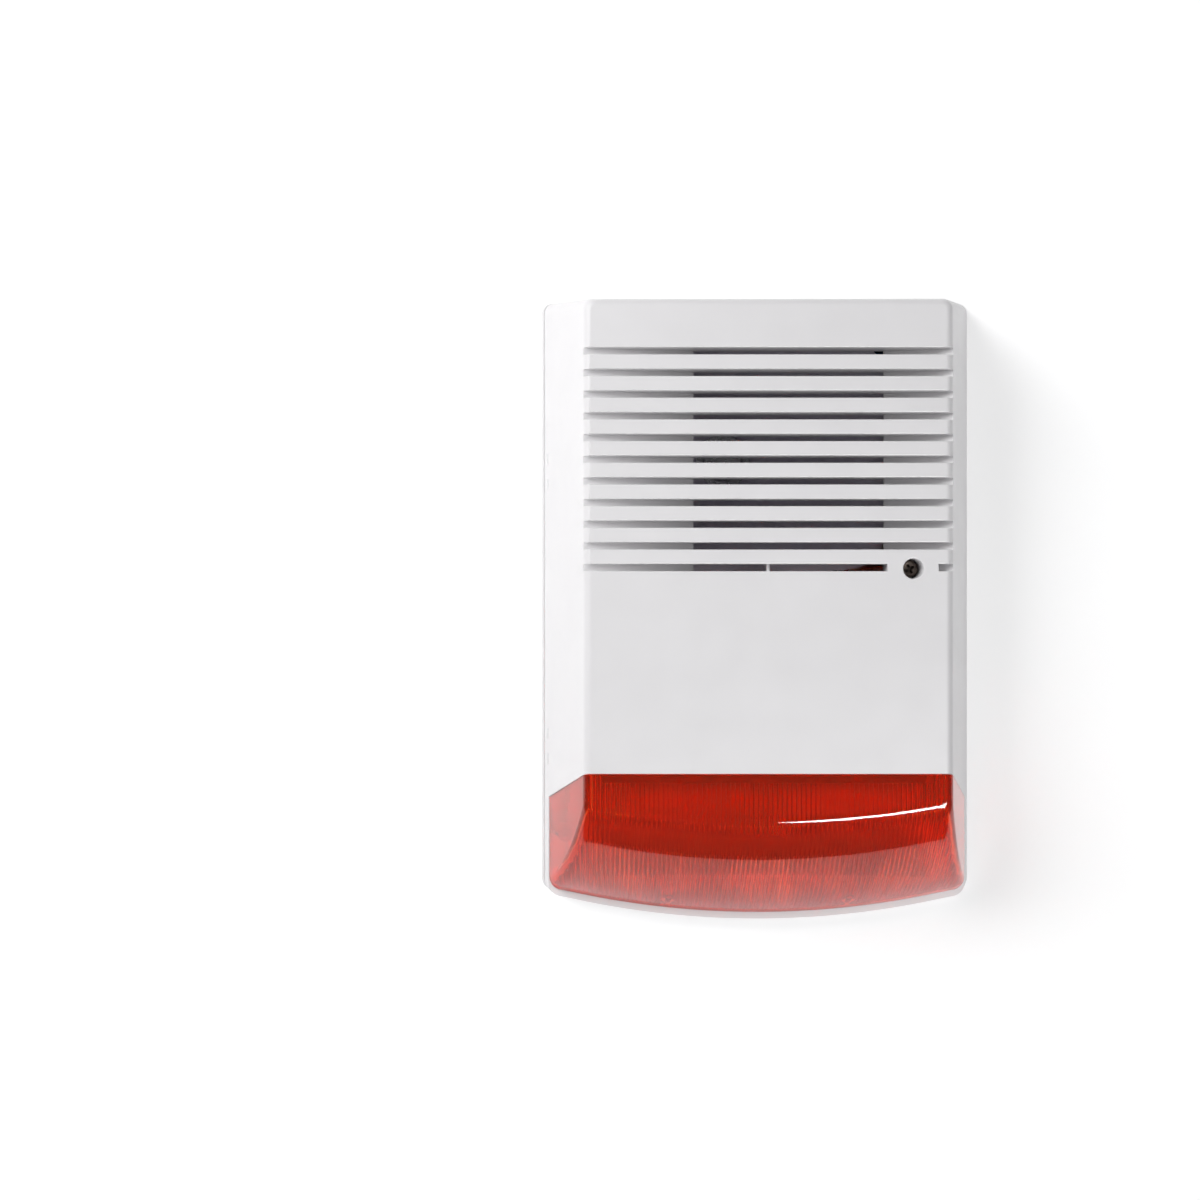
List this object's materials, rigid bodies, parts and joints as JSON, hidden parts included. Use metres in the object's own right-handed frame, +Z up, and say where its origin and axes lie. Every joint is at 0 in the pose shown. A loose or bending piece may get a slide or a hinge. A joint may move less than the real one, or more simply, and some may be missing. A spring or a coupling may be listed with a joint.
{
  "type": "alarm siren",
  "caption": "Wall-mounted outdoor alarm siren: louvred white cover hinged on a wall plate, red beacon lens, horn, lamps, backup battery and tamper switch inside.",
  "frame": {"origin": "centre of the back face, on the wall", "axes": "+Z up the wall, -Y out of the wall to the front, +X to the right as seen from the front"},
  "size_m": [0.195, 0.065, 0.28],
  "materials": {
    "white_abs": "fine moulded texture, satin",
    "red_lens": "clear red polycarbonate, fluted inside",
    "dark_steel": "dark zinc, worn",
    "bright_steel": "zinc plated",
    "brass": "turned",
    "rubber": "matt",
    "nylon": "natural nylon",
    "board_green": "solder mask",
    "terminal_green": "moulded",
    "black_plastic": "fine texture",
    "grey_plastic": "moulded",
    "copper": "enamelled wire",
    "capacitor_sleeve": "shrink sleeve",
    "battery_wrap": "heat-shrink film",
    "reflector": "vacuum metallised",
    "clear_resin": "clear epoxy",
    "silicone": "matt",
    "red_lead": "PVC insulation",
    "black_lead": "PVC insulation"
  },
  "bodies": {
    "base": {"base_plate": "white_abs", "cable_grommet": "rubber", "screw_insert": "brass", "hinge_pin_upper": "bright_steel", "hinge_pin_lower": "bright_steel", "siren_horn": "grey_plastic", "siren_driver": "bright_steel", "horn_screw_1": "bright_steel", "horn_screw_2": "bright_steel", "horn_screw_3": "bright_steel", "horn_screw_4": "bright_steel", "backup_battery": "battery_wrap", "battery_clamp": "grey_plastic", "clamp_screw_left": "bright_steel", "clamp_screw_right": "bright_steel", "circuit_board": "board_green", "board_screw_1": "bright_steel", "board_screw_2": "bright_steel", "board_screw_3": "bright_steel", "board_screw_4": "bright_steel", "terminal_block": "terminal_green", "terminal_screw_1": "bright_steel", "terminal_screw_2": "bright_steel", "terminal_screw_3": "bright_steel", "terminal_screw_4": "bright_steel", "relay": "black_plastic", "reservoir_capacitor": "capacitor_sleeve", "step_up_coil": "copper", "driver_chip": "black_plastic", "power_transistor": "black_plastic", "battery_header": "nylon", "siren_header": "nylon", "strobe_header": "nylon", "battery_plug": "nylon", "tamper_switch": "black_plastic", "tamper_spring": "bright_steel", "strobe_board": "board_green", "strobe_reflector": "reflector", "strobe_led_1": "clear_resin", "strobe_led_2": "clear_resin", "strobe_led_3": "clear_resin", "strobe_screw_left": "bright_steel", "strobe_screw_right": "bright_steel", "battery_lead_red": "red_lead", "battery_lead_black": "black_lead", "siren_lead_red": "red_lead", "siren_lead_black": "black_lead", "strobe_lead": "grey_plastic"},
    "cover": {"front_cover": "white_abs", "strobe_lens": "red_lens", "lens_gasket": "silicone", "lens_screw_1": "bright_steel", "lens_screw_2": "bright_steel", "lens_screw_3": "bright_steel", "lens_screw_4": "bright_steel"},
    "washer": {"screw_washer": "nylon"},
    "screw": {"cover_screw": "dark_steel"},
    "plunger": {"tamper_plunger": "grey_plastic"}
  },
  "joints": [
    {"name": "cover_hinge", "type": "hinge", "parent": "base", "child": "cover", "pos_m": [-0.0914, -0.008, 0], "axis": [0, 0, -1], "range_deg": [0, 100]},
    {"name": "cover_screw_travel", "type": "slide", "parent": "cover", "child": "washer", "axis": [0, -1, 0], "range_m": [0, 0.0081]},
    {"name": "cover_screw_turn", "type": "hinge", "parent": "washer", "child": "screw", "pos_m": [0.0607, -0.05, 0.0173], "axis": [0, -1, 0], "range_deg": [0, 4168]},
    {"name": "tamper_press", "type": "slide", "parent": "base", "child": "plunger", "axis": [0, 1, 0], "range_m": [0, 0.003], "stiffness_N_per_m": 300, "springref_m": -0.002, "deforming": ["tamper_spring"]}
  ],
  "couplings": [
    {"joint": "cover_screw_turn", "follows": "cover_screw_travel", "rad_per_m": 8976}
  ]
}
